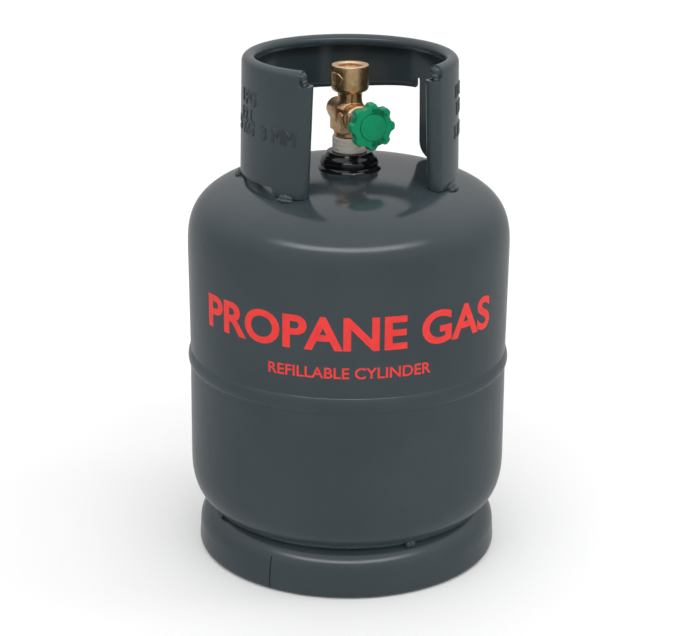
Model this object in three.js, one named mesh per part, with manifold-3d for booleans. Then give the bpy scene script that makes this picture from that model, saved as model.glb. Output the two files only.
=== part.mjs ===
// A small refillable LPG cylinder: two drawn steel halves joined by a girth weld, a foot
// ring, a guard collar with a rear hand-hold, and a brass hand-wheel valve with a built-in
// pressure relief. Millimetres, +Z up, origin on the ground in the middle of the foot ring.
// The collar's front opening faces -Y. Angles round the body are in degrees, measured from
// the middle of that opening towards +X.

import * as THREE from 'three';
import { mergeVertices } from 'three/addons/utils/BufferGeometryUtils.js';
import Module from 'manifold-3d';

const wasm = await Module();
wasm.setup();

// ---------------------------------------------------------------- driving dimensions

const GAP = 0.3;                  // clearance kept between neighbouring pieces
const RING_SEGMENTS = 40;         // facets round the vessel
const VALVE_SEGMENTS = 24;        // facets round the valve's outer surfaces
const BORE_SEGMENTS = 16;         // facets round the small bores and pins

// Pressure vessel
const BODY_RADIUS = 122.5;
const WALL = 2.6;
const HEAD_DEPTH = 60.1;          // depth of each pressed head
const HEAD_POWER = 3;             // superellipse power of the head's outline
const TOP_TANGENT_Z = 242.8;
const BOTTOM_TANGENT_Z = 78.7;
const MOUTH_RADIUS = 121.8;       // the upper half is drawn slightly smaller at its mouth
const MOUTH_Z = 158.3;            // lower edge of the upper half
const JOGGLE_LENGTH = 12;         // how far the lower half's rim slips inside the upper half
const BEAD_RADIUS = 123.8;        // crest of the girth weld
const BEAD_Z = 157;
const BOSS_HOLE_RADIUS = 16.2;

// Foot ring
const FOOT_RADIUS = 117;          // at the ground
const FOOT_WAIST_RADIUS = 116.3;  // where the shoulder bend starts
const FOOT_BEND_Z = 21;
const FOOT_BEND_RADIUS = 17;
const FOOT_BEND_ANGLE = 63.5;
const FOOT_SHEET = 2.5;
const FOOT_FLANGE = 7;            // flat width turned in at the ground
const FOOT_CORNER = 4;            // outer bend radius of that flange

// Guard collar
const COLLAR_RADIUS = 80.3;       // at the top
const COLLAR_BASE_RADIUS = 82.2;  // at the foot
const COLLAR_TOP_Z = 390;
const COLLAR_SHEET = 2.5;
const CURL_RADIUS = 5.25;         // rolled edges of the collar
const FOOT_Z = 297.1;             // lowest edge of the collar's feet
const ARCH_Z = 302.5;             // lower edge between the feet
const OPENING_ANGLE = 41.5;       // half of the front opening, to the start of the edge curl
const WINDOW_ANGLE = 122.3;       // start of the rear hand-hold
const WINDOW_TOP_Z = 359.5;
const LIP_ANGLE = 124.8;          // start of the rolled lip in the top of the hand-hold
const LIP_STEPS = 20;
const LIP_Z = 348;
const LIP_RADIUS = 3;

// Boss and valve
const BOSS_RADIUS = 22.3;
const BOSS_BASE_Z = 303.2;
const BOSS_TOP_Z = 316;
const BOSS_BORE_RADIUS = 12.6;
const STEM_RADIUS = 10.9;
const STEM_BOTTOM_Z = 296;
const SPINDLE_Z = 343.5;
const SPINDLE_TURN = 7.5;         // the spindle points this far from -Y towards +X
const WRENCH_FLAT = 23;           // across the square wrench block
const OUTLET_RADIUS = 13.9;
const OUTLET_TOP_Z = 381.5;
const OUTLET_BORE_RADIUS = 9.3;
const OUTLET_BORE_Z = 366;

// Positions along the spindle axis, from the valve's centre line towards the handwheel
const SEAT_S = -1;
const CHAMBER_RADIUS = 6.5;
const BODY_FACE_S = 19;
const PASSAGE_RADIUS = 2.75;
const INLET_S = -5;
const OUTLET_S = 3;
const PLUG_RADIUS = 6.1;
const SHAFT_RADIUS = 3.5;
const GROOVE_RADIUS = 2.2;
const GLAND_BORE_RADIUS = 3.9;
const SQUARE_END = 6;
const WHEEL_BACK_S = 37.5;
const WHEEL_FRONT_S = 46;
const WHEEL_RADIUS = 17.5;
const WHEEL_LOBES = 8;
const WHEEL_LOBE_DEPTH = 1.6;

// Positions along the same axis, towards the back, for the relief valve
const RELIEF_SEAT_S = -14;
const RELIEF_BORE_RADIUS = 5.8;
const RELIEF_HOUSING_RADIUS = 9.1;
const RELIEF_HOUSING_S = -26;

// ---------------------------------------------------------------- helpers

const degrees = THREE.MathUtils.degToRad;

// A closed geometry with shared vertices, no collapsed triangles and its faces outwards.
function closedMesh(geometry) {
  const bare = geometry.clone();
  bare.deleteAttribute('normal');
  bare.deleteAttribute('uv');
  const merged = mergeVertices(bare, 1e-4);
  const index = Array.from(merged.index.array);
  const kept = [];
  for (let i = 0; i < index.length; i += 3) {
    const [a, b, c] = index.slice(i, i + 3);
    if (a !== b && b !== c && c !== a) {
      kept.push(a, b, c);
    }
  }
  merged.setIndex(kept);
  if (signedVolume(merged) < 0) {
    merged.setIndex(kept.reverse());
  }
  return merged;
}

function signedVolume(geometry) {
  const position = geometry.attributes.position;
  const index = geometry.index.array;
  const a = new THREE.Vector3();
  const b = new THREE.Vector3();
  const c = new THREE.Vector3();
  let volume = 0;
  for (let i = 0; i < index.length; i += 3) {
    a.fromBufferAttribute(position, index[i]);
    b.fromBufferAttribute(position, index[i + 1]);
    c.fromBufferAttribute(position, index[i + 2]);
    volume += a.dot(b.cross(c)) / 6;
  }
  return volume;
}

function solid(geometry) {
  const mesh = closedMesh(geometry);
  return new wasm.Manifold(new wasm.Mesh({
    numProp: 3,
    vertProperties: new Float32Array(mesh.attributes.position.array),
    triVerts: new Uint32Array(mesh.index.array),
  }));
}

function fromSolid(manifold) {
  const mesh = manifold.getMesh();
  const geometry = new THREE.BufferGeometry();
  geometry.setAttribute('position', new THREE.BufferAttribute(mesh.vertProperties, 3));
  geometry.setIndex(Array.from(mesh.triVerts));
  return closedMesh(geometry);
}

function join(geometries) {
  return fromSolid(geometries.map(solid).reduce((sum, next) => sum.add(next)));
}

function cut(geometry, cutters) {
  return fromSolid(cutters.map(solid).reduce((left, next) => left.subtract(next), solid(geometry)));
}

// Turns an outline of [radius, height] pairs round the Z axis. The outline starts and ends
// on the axis, or it is a ring's section and gets closed here.
function turned(outline, segments) {
  const points = outline.map(([radius, height]) => new THREE.Vector2(radius, height));
  const onAxis = outline[0][0] === 0 && outline[outline.length - 1][0] === 0;
  if (!onAxis) {
    points.push(points[0].clone());
  }
  return closedMesh(new THREE.LatheGeometry(points, segments).rotateX(Math.PI / 2));
}

function disc(radius, bottom, top, segments = BORE_SEGMENTS) {
  return turned([[0, bottom], [radius, bottom], [radius, top], [0, top]], segments);
}

function ring(inner, outer, bottom, top, segments = BORE_SEGMENTS) {
  return turned([[inner, bottom], [outer, bottom], [outer, top], [inner, top]], segments);
}

function block(width, depth, bottom, top) {
  return new THREE.BoxGeometry(width, depth, top - bottom).translate(0, 0, (bottom + top) / 2);
}

// A regular or lobed outline pulled up from bottom to top.
function prism(shape, bottom, top) {
  const options = { depth: top - bottom, bevelEnabled: false };
  return new THREE.ExtrudeGeometry(shape, options).translate(0, 0, bottom);
}

// Points on an arc in the [radius, height] plane, angles in degrees from the +radius axis.
function arc(centre, radius, from, to, steps) {
  return Array.from({ length: steps + 1 }, (_, i) => {
    const angle = degrees(from + (to - from) * i / steps);
    return [centre[0] + radius * Math.cos(angle), centre[1] + radius * Math.sin(angle)];
  });
}

// A skin stretched over flat sections with the same number of points, with both ends
// capped. place(point, i) puts a section's point in space.
function loft(sections, place) {
  const count = sections[0].length;
  const positions = [];
  sections.forEach((section, i) => section.forEach((point) => {
    positions.push(...place(point, i));
  }));
  const index = [];
  for (let i = 0; i + 1 < sections.length; i += 1) {
    for (let j = 0; j < count; j += 1) {
      const here = i * count + j;
      const next = i * count + (j + 1) % count;
      index.push(here, next, next + count);
      index.push(here, next + count, here + count);
    }
  }
  const last = (sections.length - 1) * count;
  const flat = (section) => section.map(([x, y]) => new THREE.Vector2(x, y));
  for (const [a, b, c] of THREE.ShapeUtils.triangulateShape(flat(sections[0]), [])) {
    index.push(a, c, b);
  }
  for (const [a, b, c] of THREE.ShapeUtils.triangulateShape(flat(sections.at(-1)), [])) {
    index.push(last + a, last + b, last + c);
  }
  const geometry = new THREE.BufferGeometry();
  geometry.setAttribute('position', new THREE.Float32BufferAttribute(positions, 3));
  geometry.setIndex(index);
  return closedMesh(geometry);
}

// A point at a radius, an angle from the front and a height.
function around(radius, angle, height) {
  const turn = degrees(angle);
  return [radius * Math.sin(turn), -radius * Math.cos(turn), height];
}

const materials = {
  paint: new THREE.MeshStandardMaterial({ color: 0x454e55, roughness: 0.32, metalness: 0.2 }),
  brass: new THREE.MeshStandardMaterial({ color: 0xa98355, roughness: 0.35, metalness: 1 }),
  tape: new THREE.MeshStandardMaterial({ color: 0xb9b4aa, roughness: 0.7, metalness: 0 }),
  wheel: new THREE.MeshStandardMaterial({ color: 0x00895b, roughness: 0.3, metalness: 0 }),
  rubber: new THREE.MeshStandardMaterial({ color: 0x16171a, roughness: 0.8, metalness: 0 }),
  steel: new THREE.MeshStandardMaterial({ color: 0xb8bcc0, roughness: 0.3, metalness: 1 }),
  nylon: new THREE.MeshStandardMaterial({ color: 0xe6e2d6, roughness: 0.6, metalness: 0 }),
};

function piece(name, geometry, material) {
  const mesh = new THREE.Mesh(geometry, material.clone());
  mesh.name = name;
  return mesh;
}

// ---------------------------------------------------------------- pressure vessel

// Height above the tangent line of a pressed head's outline, at a radius.
function headRise(radius, crown, depth) {
  return depth * (1 - (radius / crown) ** HEAD_POWER) ** (1 / HEAD_POWER);
}

function domeZ(radius) {
  return TOP_TANGENT_Z + headRise(radius, BODY_RADIUS, HEAD_DEPTH);
}

// Outline of a pressed head, from its tangent line inwards to a radius, as [radius, rise].
function headOutline(crown, depth, innerRadius, steps) {
  const lastAngle = Math.acos((innerRadius / crown) ** (HEAD_POWER / 2));
  return Array.from({ length: steps + 1 }, (_, i) => {
    const angle = lastAngle * i / steps;
    const radius = crown * Math.cos(angle) ** (2 / HEAD_POWER);
    return [radius, headRise(radius, crown, depth)];
  });
}

function upperShell() {
  const outside = headOutline(BODY_RADIUS, HEAD_DEPTH, BOSS_HOLE_RADIUS, 10);
  const inside = headOutline(BODY_RADIUS - WALL, HEAD_DEPTH - WALL, BOSS_HOLE_RADIUS, 7);
  const lift = ([radius, rise]) => [radius, TOP_TANGENT_Z + rise];
  return turned([
    [MOUTH_RADIUS - WALL, MOUTH_Z],
    [MOUTH_RADIUS, MOUTH_Z],
    ...outside.map(lift),
    ...inside.map(lift).reverse(),
  ], RING_SEGMENTS);
}

function lowerShell() {
  const outside = headOutline(BODY_RADIUS, HEAD_DEPTH, 0, 10);
  const inside = headOutline(BODY_RADIUS - WALL, HEAD_DEPTH - WALL, 0, 7);
  const drop = ([radius, rise]) => [radius, BOTTOM_TANGENT_Z - rise];
  const rimRadius = MOUTH_RADIUS - WALL - GAP;
  const rimTop = MOUTH_Z + JOGGLE_LENGTH;
  return turned([
    ...outside.map(drop).reverse(),
    [MOUTH_RADIUS + 0.2, BEAD_Z - 6],
    [rimRadius, BEAD_Z - 2.5],
    [rimRadius, rimTop],
    [rimRadius - WALL, rimTop],
    [rimRadius - WALL, BEAD_Z - 3.5],
    [MOUTH_RADIUS - WALL, BEAD_Z - 7],
    ...inside.map(drop),
  ], RING_SEGMENTS);
}

function girthWeld() {
  const rootRadius = MOUTH_RADIUS - WALL;
  const toeRadius = MOUTH_RADIUS + GAP;
  return turned([
    [rootRadius + 0.1, BEAD_Z - 1.9],
    [toeRadius + 0.6, BEAD_Z - 5],
    [BEAD_RADIUS - 0.3, BEAD_Z - 2.6],
    [BEAD_RADIUS, BEAD_Z],
    [BEAD_RADIUS - 0.3, BEAD_Z + 2.6],
    [toeRadius + 0.2, BEAD_Z + 5],
    [toeRadius, MOUTH_Z - GAP],
    [rootRadius + 0.1, MOUTH_Z - GAP],
  ], RING_SEGMENTS);
}

function valveBoss() {
  const spigot = BOSS_HOLE_RADIUS - 0.5;
  return turned([
    [BOSS_BORE_RADIUS, 297.5],
    [spigot, 297.5],
    [spigot, BOSS_BASE_Z],
    [18.5, BOSS_BASE_Z],
    [21.2, 305.6],
    [BOSS_RADIUS, 308.2],
    [21.6, 311.2],
    [19, 314.2],
    [16.5, BOSS_TOP_Z],
    [BOSS_BORE_RADIUS, BOSS_TOP_Z],
  ], 32);
}

function bossWeld() {
  return turned([
    [19, BOSS_BASE_Z],
    [26, BOSS_BASE_Z - 0.1],
    [25, 304.6],
    [23.2, 305.7],
    [21.6, 305.3],
  ], 32);
}

// ---------------------------------------------------------------- foot ring and collar

function footRing() {
  const bendCentre = [FOOT_WAIST_RADIUS - FOOT_BEND_RADIUS, FOOT_BEND_Z];
  const innerBend = FOOT_BEND_RADIUS - FOOT_SHEET;
  const cornerCentre = [FOOT_RADIUS - FOOT_CORNER, FOOT_CORNER];
  const flangeEnd = cornerCentre[0] - FOOT_FLANGE;
  return turned([
    [flangeEnd, FOOT_SHEET],
    [flangeEnd, 0],
    ...arc(cornerCentre, FOOT_CORNER, -90, 0, 3),
    ...arc(bendCentre, FOOT_BEND_RADIUS, 0, FOOT_BEND_ANGLE, 5),
    ...arc(bendCentre, innerBend, FOOT_BEND_ANGLE, 0, 4),
    ...arc(cornerCentre, FOOT_CORNER - FOOT_SHEET, 0, -90, 2),
  ], RING_SEGMENTS);
}

// A short fillet weld round the body: a section that swells from its root and dies away
// at both ends. The section's first point is the root.
function stitchWeld(section, angle, halfSpan) {
  const stations = [-1, -0.85, -0.45, 0, 0.45, 0.85, 1];
  const [root] = section;
  const sections = stations.map((station) => {
    const swell = 0.2 + 0.8 * Math.sqrt(1 - station * station);
    return section.map(([radius, height]) => [
      root[0] + (radius - root[0]) * swell,
      root[1] + (height - root[1]) * swell,
    ]);
  });
  return loft(sections, ([radius, height], i) => (
    around(radius, angle + halfSpan * stations[i], height)
  ));
}

const footWeldSection = [
  [107.8, 36.6],
  [111.6, 33.4],
  [113.6, 35.6],
  [113.9, 38.6],
  [112.6, 41.3],
];
const collarWeldSection = [
  [COLLAR_BASE_RADIUS + GAP, domeZ(COLLAR_BASE_RADIUS) + 0.35],
  [88.5, domeZ(88.5) + 0.4],
  [88, 297.6],
  [85.8, 300.6],
  [COLLAR_BASE_RADIUS + GAP, 302],
];

// The collar is shaped as a cylinder, then opened slightly towards its base.
function flared(geometry) {
  const position = geometry.attributes.position;
  const growth = COLLAR_BASE_RADIUS / COLLAR_RADIUS - 1;
  for (let i = 0; i < position.count; i += 1) {
    const scale = 1 + growth * (COLLAR_TOP_Z - position.getZ(i)) / (COLLAR_TOP_Z - FOOT_Z);
    position.setX(i, position.getX(i) * scale);
    position.setY(i, position.getY(i) * scale);
  }
  return geometry;
}

// Lower edge of one half of the collar's sheet, as [angle, height], front to back.
function lowerEdge() {
  const footEnd = 113.2;
  const cornerWidth = WINDOW_ANGLE - footEnd;
  const cornerHeight = 19;
  const roundedCorner = [15, 35, 55, 72, 90].map((turn) => [
    footEnd + cornerWidth * Math.sin(degrees(turn)),
    FOOT_Z + cornerHeight * (1 - Math.cos(degrees(turn))),
  ]);
  const arch = [58.5, 66, 74, 82, 90, 98, 103.5].map((angle) => [angle, ARCH_Z]);
  const lipStep = 2 * (180 - LIP_ANGLE) / LIP_STEPS;
  const window = Array.from({ length: LIP_STEPS / 2 + 1 }, (_, i) => (
    [LIP_ANGLE + lipStep * i, WINDOW_TOP_Z]
  ));
  return [
    [OPENING_ANGLE, FOOT_Z], [49, FOOT_Z], [56, FOOT_Z],
    ...arch,
    [106, FOOT_Z], [footEnd, FOOT_Z],
    ...roundedCorner,
    [WINDOW_ANGLE + 0.05, WINDOW_TOP_Z],
    ...window,
  ];
}

function collarSheet() {
  const curlCentre = [COLLAR_RADIUS - CURL_RADIUS, COLLAR_TOP_Z - CURL_RADIUS];
  const half = lowerEdge();
  const otherHalf = half.slice(0, -1).map(([angle, height]) => [360 - angle, height]);
  const stations = [...half, ...otherHalf.reverse()];
  const sections = stations.map(([, height]) => [
    [COLLAR_RADIUS, height],
    ...arc(curlCentre, CURL_RADIUS, 0, 215, 7),
    ...arc(curlCentre, CURL_RADIUS - COLLAR_SHEET, 215, 0, 5),
    [COLLAR_RADIUS - COLLAR_SHEET, height],
  ]);
  return loft(sections, ([radius, height], i) => around(radius, stations[i][0], height));
}

// The sheet's edge beside the front opening, rolled inwards round an upright axis.
function openingCurl(side) {
  const turns = [-6, 0, 30, 60, 90, 120, 150, 180, 210];
  const axisRadius = COLLAR_RADIUS - CURL_RADIUS;
  const topZ = COLLAR_TOP_Z - CURL_RADIUS;
  const growth = COLLAR_BASE_RADIUS / COLLAR_RADIUS;
  const [axisX, axisY] = around(axisRadius, OPENING_ANGLE, 0);
  const sections = turns.map(() => [
    [CURL_RADIUS, 0],
    ...arc([0, topZ], CURL_RADIUS, 0, 90, 3),
    ...arc([0, topZ], CURL_RADIUS - COLLAR_SHEET, 90, 0, 3),
    [CURL_RADIUS - COLLAR_SHEET, 0],
  ]);
  return loft(sections, ([reach, height], i) => {
    const heading = degrees(OPENING_ANGLE - turns[i]);
    const x = axisX + reach * Math.sin(heading);
    const y = axisY - reach * Math.cos(heading);
    const onDome = domeZ(Math.hypot(x, y) * growth) + 0.5;
    return [side * x, y, height === 0 ? onDome : height];
  });
}

function windowLip() {
  const centre = [COLLAR_RADIUS - LIP_RADIUS, LIP_Z + LIP_RADIUS];
  const inner = COLLAR_RADIUS - COLLAR_SHEET;
  const section = [
    [COLLAR_RADIUS, WINDOW_TOP_Z + 2],
    [inner, WINDOW_TOP_Z + 2],
    [inner, centre[1] + 1],
    [inner - 1, centre[1] + 0.5],
    [inner - 1, centre[1] + 3],
    [centre[0] - LIP_RADIUS, centre[1] + 3],
    ...arc(centre, LIP_RADIUS, 180, 360, 4),
  ];
  const span = 360 - 2 * LIP_ANGLE;
  const sections = Array.from({ length: LIP_STEPS + 1 }, () => section);
  return loft(sections, ([radius, height], i) => (
    around(radius, LIP_ANGLE + span * i / LIP_STEPS, height)
  ));
}

// ---------------------------------------------------------------- valve

// The spindle's frame: its Z runs along the spindle towards the handwheel, its Y is up.
const spindleFrame = new THREE.Group();
spindleFrame.position.set(0, 0, SPINDLE_Z);
spindleFrame.rotation.set(Math.PI / 2, 0, degrees(SPINDLE_TURN), 'ZYX');
spindleFrame.updateMatrix();

function alongSpindle(geometry) {
  return geometry.clone().applyMatrix4(spindleFrame.matrix);
}

// A point on the spindle axis in plan, for the upright drillings that meet it.
function overSpindle(geometry, s) {
  const [x, y] = around(s, SPINDLE_TURN, 0);
  return geometry.clone().translate(x, y, 0);
}

function valveBody() {
  const upright = turned([
    [0, STEM_BOTTOM_Z],
    [STEM_RADIUS - 1, STEM_BOTTOM_Z],
    [STEM_RADIUS, STEM_BOTTOM_Z + 2],
    [STEM_RADIUS, 328],
    [11.9, 328],
    [11.9, 331.5],
    [10.6, 332.5],
    [10.6, 337],
    [13, 339.5],
    [13, 347],
    [10.6, 350.5],
    [8.5, 352.5],
    [8.5, 361],
    [12, 363],
    [OUTLET_RADIUS, 365.5],
    [OUTLET_RADIUS, OUTLET_TOP_Z - 0.8],
    [OUTLET_RADIUS - 0.8, OUTLET_TOP_Z],
    [0, OUTLET_TOP_Z],
  ], VALVE_SEGMENTS);
  const wrenchBlock = block(WRENCH_FLAT, WRENCH_FLAT, 332, 343.5);
  wrenchBlock.rotateZ(degrees(SPINDLE_TURN));
  const barrel = turned([
    [0, RELIEF_HOUSING_S],
    [RELIEF_HOUSING_RADIUS - 2, RELIEF_HOUSING_S],
    [RELIEF_HOUSING_RADIUS, RELIEF_HOUSING_S + 2.5],
    [RELIEF_HOUSING_RADIUS, -12],
    [10.2, -9],
    [10.2, BODY_FACE_S - 1],
    [9.4, BODY_FACE_S],
    [0, BODY_FACE_S],
  ], VALVE_SEGMENTS);
  const cutters = [
    disc(OUTLET_BORE_RADIUS, OUTLET_BORE_Z, OUTLET_TOP_Z + 1, VALVE_SEGMENTS),
    overSpindle(disc(3, SPINDLE_Z, OUTLET_BORE_Z + 1), OUTLET_S),
    overSpindle(disc(3, STEM_BOTTOM_Z - 1, SPINDLE_Z), INLET_S),
    alongSpindle(disc(CHAMBER_RADIUS, SEAT_S, BODY_FACE_S + 1)),
    alongSpindle(disc(PASSAGE_RADIUS, RELIEF_SEAT_S - 1, SEAT_S + 1)),
    alongSpindle(disc(RELIEF_BORE_RADIUS, RELIEF_HOUSING_S - 1, RELIEF_SEAT_S)),
  ];
  return cut(join([upright, wrenchBlock, alongSpindle(barrel)]), cutters);
}

// PTFE tape wound on the tapered stem: it thickens towards the valve's flange.
function threadTape() {
  const inner = STEM_RADIUS + GAP;
  return turned([
    [inner, 305],
    [inner + 0.5, 305],
    [12.2, BOSS_TOP_Z],
    [12.7, 322],
    [13.2, 327.6],
    [inner, 327.6],
  ], VALVE_SEGMENTS);
}

function hexagon(acrossFlats) {
  const shape = new THREE.Shape();
  const radius = acrossFlats / Math.sqrt(3);
  for (let i = 0; i < 6; i += 1) {
    const angle = degrees(60 * i);
    shape[i ? 'lineTo' : 'moveTo'](radius * Math.cos(angle), radius * Math.sin(angle));
  }
  return shape;
}

function bonnet() {
  const hex = prism(hexagon(18), 20.6, 27.3);
  const spigot = disc(CHAMBER_RADIUS - GAP, 18.6, 21, VALVE_SEGMENTS);
  const nose = turned([[0, 27], [6.8, 27], [6.8, 30], [6, 31], [0, 31]], VALVE_SEGMENTS);
  return cut(join([hex, spigot, nose]), [disc(GLAND_BORE_RADIUS, 18, 32)]);
}

function spindle() {
  const shaft = turned([
    [0, 15.3],
    [5.8, 15.3],
    [5.8, 17],
    [SHAFT_RADIUS, 17],
    [SHAFT_RADIUS, 21.5],
    [GROOVE_RADIUS, 21.5],
    [GROOVE_RADIUS, 23.4],
    [SHAFT_RADIUS, 23.4],
    [SHAFT_RADIUS, 25],
    [GROOVE_RADIUS, 25],
    [GROOVE_RADIUS, 26.9],
    [SHAFT_RADIUS, 26.9],
    [SHAFT_RADIUS, 32],
    [0, 32],
  ], BORE_SEGMENTS);
  const tang = block(3.2, 8.4, 8, 15.8);
  const square = block(SQUARE_END, SQUARE_END, 31.5, 43);
  return cut(join([shaft, tang, square]), [disc(2, 35, 44)]);
}

function valvePlug() {
  const plug = turned([
    [0, 1.1],
    [4.6, 1.1],
    [4.9, 1.6],
    [PLUG_RADIUS, 2.6],
    [PLUG_RADIUS, 11],
    [0, 11],
  ], BORE_SEGMENTS);
  return cut(plug, [block(4, 14, 3.5, 12)]);
}

// ---------------------------------------------------------------- handwheel

function lobedOutline() {
  const points = [];
  const steps = WHEEL_LOBES * 7;
  for (let i = 0; i < steps; i += 1) {
    const angle = 2 * Math.PI * i / steps;
    const wave = Math.cos(WHEEL_LOBES * angle);
    const radius = WHEEL_RADIUS - WHEEL_LOBE_DEPTH * (1 - wave);
    points.push(new THREE.Vector2(radius * Math.cos(angle), radius * Math.sin(angle)));
  }
  return new THREE.Shape(points);
}

function handwheel() {
  const bevel = 1.2;
  const rim = new THREE.ExtrudeGeometry(lobedOutline(), {
    depth: WHEEL_FRONT_S - WHEEL_BACK_S - 2 * bevel,
    bevelThickness: bevel,
    bevelSize: bevel,
    bevelOffset: -bevel,
    bevelSegments: 1,
  }).translate(0, 0, WHEEL_BACK_S + bevel);
  const hub = disc(6.5, WHEEL_BACK_S - 4, WHEEL_BACK_S + 1, VALVE_SEGMENTS);
  const squareHole = SQUARE_END + 2 * GAP;
  return cut(join([rim, hub]), [
    ring(8.5, 14, WHEEL_BACK_S - 5, WHEEL_BACK_S + 3.5, VALVE_SEGMENTS),
    block(squareHole, squareHole, WHEEL_BACK_S - 5, 43.3),
    disc(2.2, 43, 44),
    disc(4.2, 43.6, WHEEL_FRONT_S + 1),
    disc(10.3, WHEEL_FRONT_S - 0.8, WHEEL_FRONT_S + 1, VALVE_SEGMENTS),
  ]);
}

function handwheelScrew() {
  const head = turned([[0, 43.9], [3.6, 43.9], [3.6, 45.1], [2.6, 45], [0, 44.9]], BORE_SEGMENTS);
  return join([head, disc(1.7, 36, 44.2)]);
}

// ---------------------------------------------------------------- relief valve

class SpringLine extends THREE.Curve {
  constructor(radius, from, to, turns) {
    super();
    Object.assign(this, { radius, from, to, turns });
  }

  getPoint(t, target = new THREE.Vector3()) {
    const angle = 2 * Math.PI * this.turns * t;
    const along = this.from + (this.to - this.from) * t;
    return target.set(this.radius * Math.cos(angle), this.radius * Math.sin(angle), along);
  }
}

function reliefSpring() {
  const wire = new THREE.Shape();
  wire.absarc(0, 0, 0.5, 0, 2 * Math.PI);
  const turns = 4;
  return new THREE.ExtrudeGeometry(wire, {
    extrudePath: new SpringLine(3.6, -18.9, -23.5, turns),
    steps: turns * 10,
    curveSegments: 3,
    bevelEnabled: false,
  });
}

function reliefCap() {
  const cap = turned([
    [0, -29],
    [6.8, -29],
    [8, -28],
    [8, -26.3],
    [5.4, -26.3],
    [5.4, -24.4],
    [0, -24.4],
  ], VALVE_SEGMENTS);
  return cut(cap, [disc(2.2, -30, -24)]);
}

// ---------------------------------------------------------------- assembly

const cylinder = new THREE.Group();
cylinder.add(piece('upper_shell', upperShell(), materials.paint));
cylinder.add(piece('lower_shell', lowerShell(), materials.paint));
cylinder.add(piece('girth_weld', girthWeld(), materials.paint));
cylinder.add(piece('valve_boss', valveBoss(), materials.paint));
cylinder.add(piece('boss_weld', bossWeld(), materials.paint));

cylinder.add(piece('foot_ring', footRing(), materials.paint));
[12, 102, 192, 282].forEach((angle, i) => {
  const weld = stitchWeld(footWeldSection, angle, 2.4);
  cylinder.add(piece(`foot_ring_weld_${i + 1}`, weld, materials.paint));
});

const collar = flared(join([collarSheet(), openingCurl(1), openingCurl(-1), windowLip()]));
cylinder.add(piece('collar', collar, materials.paint));
[-48.1, 52, 110, -110].forEach((angle, i) => {
  const weld = stitchWeld(collarWeldSection, angle, 4.2);
  cylinder.add(piece(`collar_weld_${i + 1}`, weld, materials.paint));
});

cylinder.add(piece('valve_body', valveBody(), materials.brass));
cylinder.add(piece('thread_tape', threadTape(), materials.tape));

spindleFrame.add(piece('bonnet', bonnet(), materials.brass));
spindleFrame.add(piece('bonnet_gasket', ring(6.6, 9, 19.3, 20.3), materials.nylon));
spindleFrame.add(piece('thrust_washer', ring(3.9, 6.1, 17.3, 18.3), materials.nylon));
spindleFrame.add(piece('spindle', spindle(), materials.brass));
[21.8, 25.3].forEach((s, i) => {
  const oRing = turned([[2.5, s + 0.3], [3.05, s], [3.6, s + 0.3], [3.6, s + 1], [3.05, s + 1.3],
    [2.5, s + 1]], BORE_SEGMENTS);
  spindleFrame.add(piece(`spindle_o_ring_${i + 1}`, oRing, materials.rubber));
});
spindleFrame.add(piece('valve_plug', valvePlug(), materials.brass));
spindleFrame.add(piece('seat_pad', disc(4.5, SEAT_S + GAP, 0.8), materials.nylon));
spindleFrame.add(piece('handwheel', handwheel(), materials.wheel));
spindleFrame.add(piece('handwheel_screw', handwheelScrew(), materials.steel));
spindleFrame.add(piece('handwheel_cap', disc(10, 45.5, 46.6, VALVE_SEGMENTS), materials.wheel));
spindleFrame.add(piece('relief_seal', disc(4.6, -15.8, -14.3), materials.rubber));
const poppet = turned([[0, -23.5], [1.6, -23.5], [1.6, -18], [5.2, -18], [5.2, -16.1], [0, -16.1]],
  BORE_SEGMENTS);
spindleFrame.add(piece('relief_poppet', poppet, materials.brass));
spindleFrame.add(piece('relief_spring', reliefSpring(), materials.steel));
spindleFrame.add(piece('relief_cap', reliefCap(), materials.brass));
cylinder.add(spindleFrame);

export default cylinder;
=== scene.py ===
# %% [markdown]
# # A small LPG cylinder
# The cylinder is two pressed steel halves with a weld round the middle, a foot ring below, a
# guard collar above, and a brass valve with a green handwheel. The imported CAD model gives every
# size and place. This lesson rebuilds what shows as fine meshes, one piece after another, and
# then gives each piece its finish.

# %% Load the frame
import math

import bmesh
import bpy
from mathutils import Matrix, Vector, noise


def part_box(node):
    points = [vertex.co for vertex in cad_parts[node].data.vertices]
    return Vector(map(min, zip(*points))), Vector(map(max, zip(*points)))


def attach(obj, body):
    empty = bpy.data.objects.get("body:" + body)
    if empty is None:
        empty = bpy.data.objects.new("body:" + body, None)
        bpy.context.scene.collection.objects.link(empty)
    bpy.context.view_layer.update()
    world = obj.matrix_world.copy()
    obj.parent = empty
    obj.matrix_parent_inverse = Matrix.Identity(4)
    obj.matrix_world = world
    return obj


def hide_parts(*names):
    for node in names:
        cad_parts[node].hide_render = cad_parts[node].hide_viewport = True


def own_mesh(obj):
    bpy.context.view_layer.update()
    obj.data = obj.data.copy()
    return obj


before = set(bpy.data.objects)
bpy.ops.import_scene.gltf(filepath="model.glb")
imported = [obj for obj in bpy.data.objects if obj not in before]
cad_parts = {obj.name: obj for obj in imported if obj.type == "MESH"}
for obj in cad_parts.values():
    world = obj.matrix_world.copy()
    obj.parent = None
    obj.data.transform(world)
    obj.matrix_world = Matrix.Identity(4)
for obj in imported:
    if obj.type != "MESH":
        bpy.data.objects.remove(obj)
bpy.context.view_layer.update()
MM = 0.001
print("frame loaded:", len(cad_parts), "nodes")

# %% [markdown]
# ## Sizes
# The frame's boxes give the overall sizes in millimetres. The few sizes that a box can't give,
# such as the sheet thickness or a bend radius, are driving dimensions, written once here.

# %% Sizes from the frame
def span(node):
    """Lowest and highest corner of a CAD node in millimetres."""
    low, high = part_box(node)
    return Vector(low) / MM, Vector(high) / MM


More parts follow.
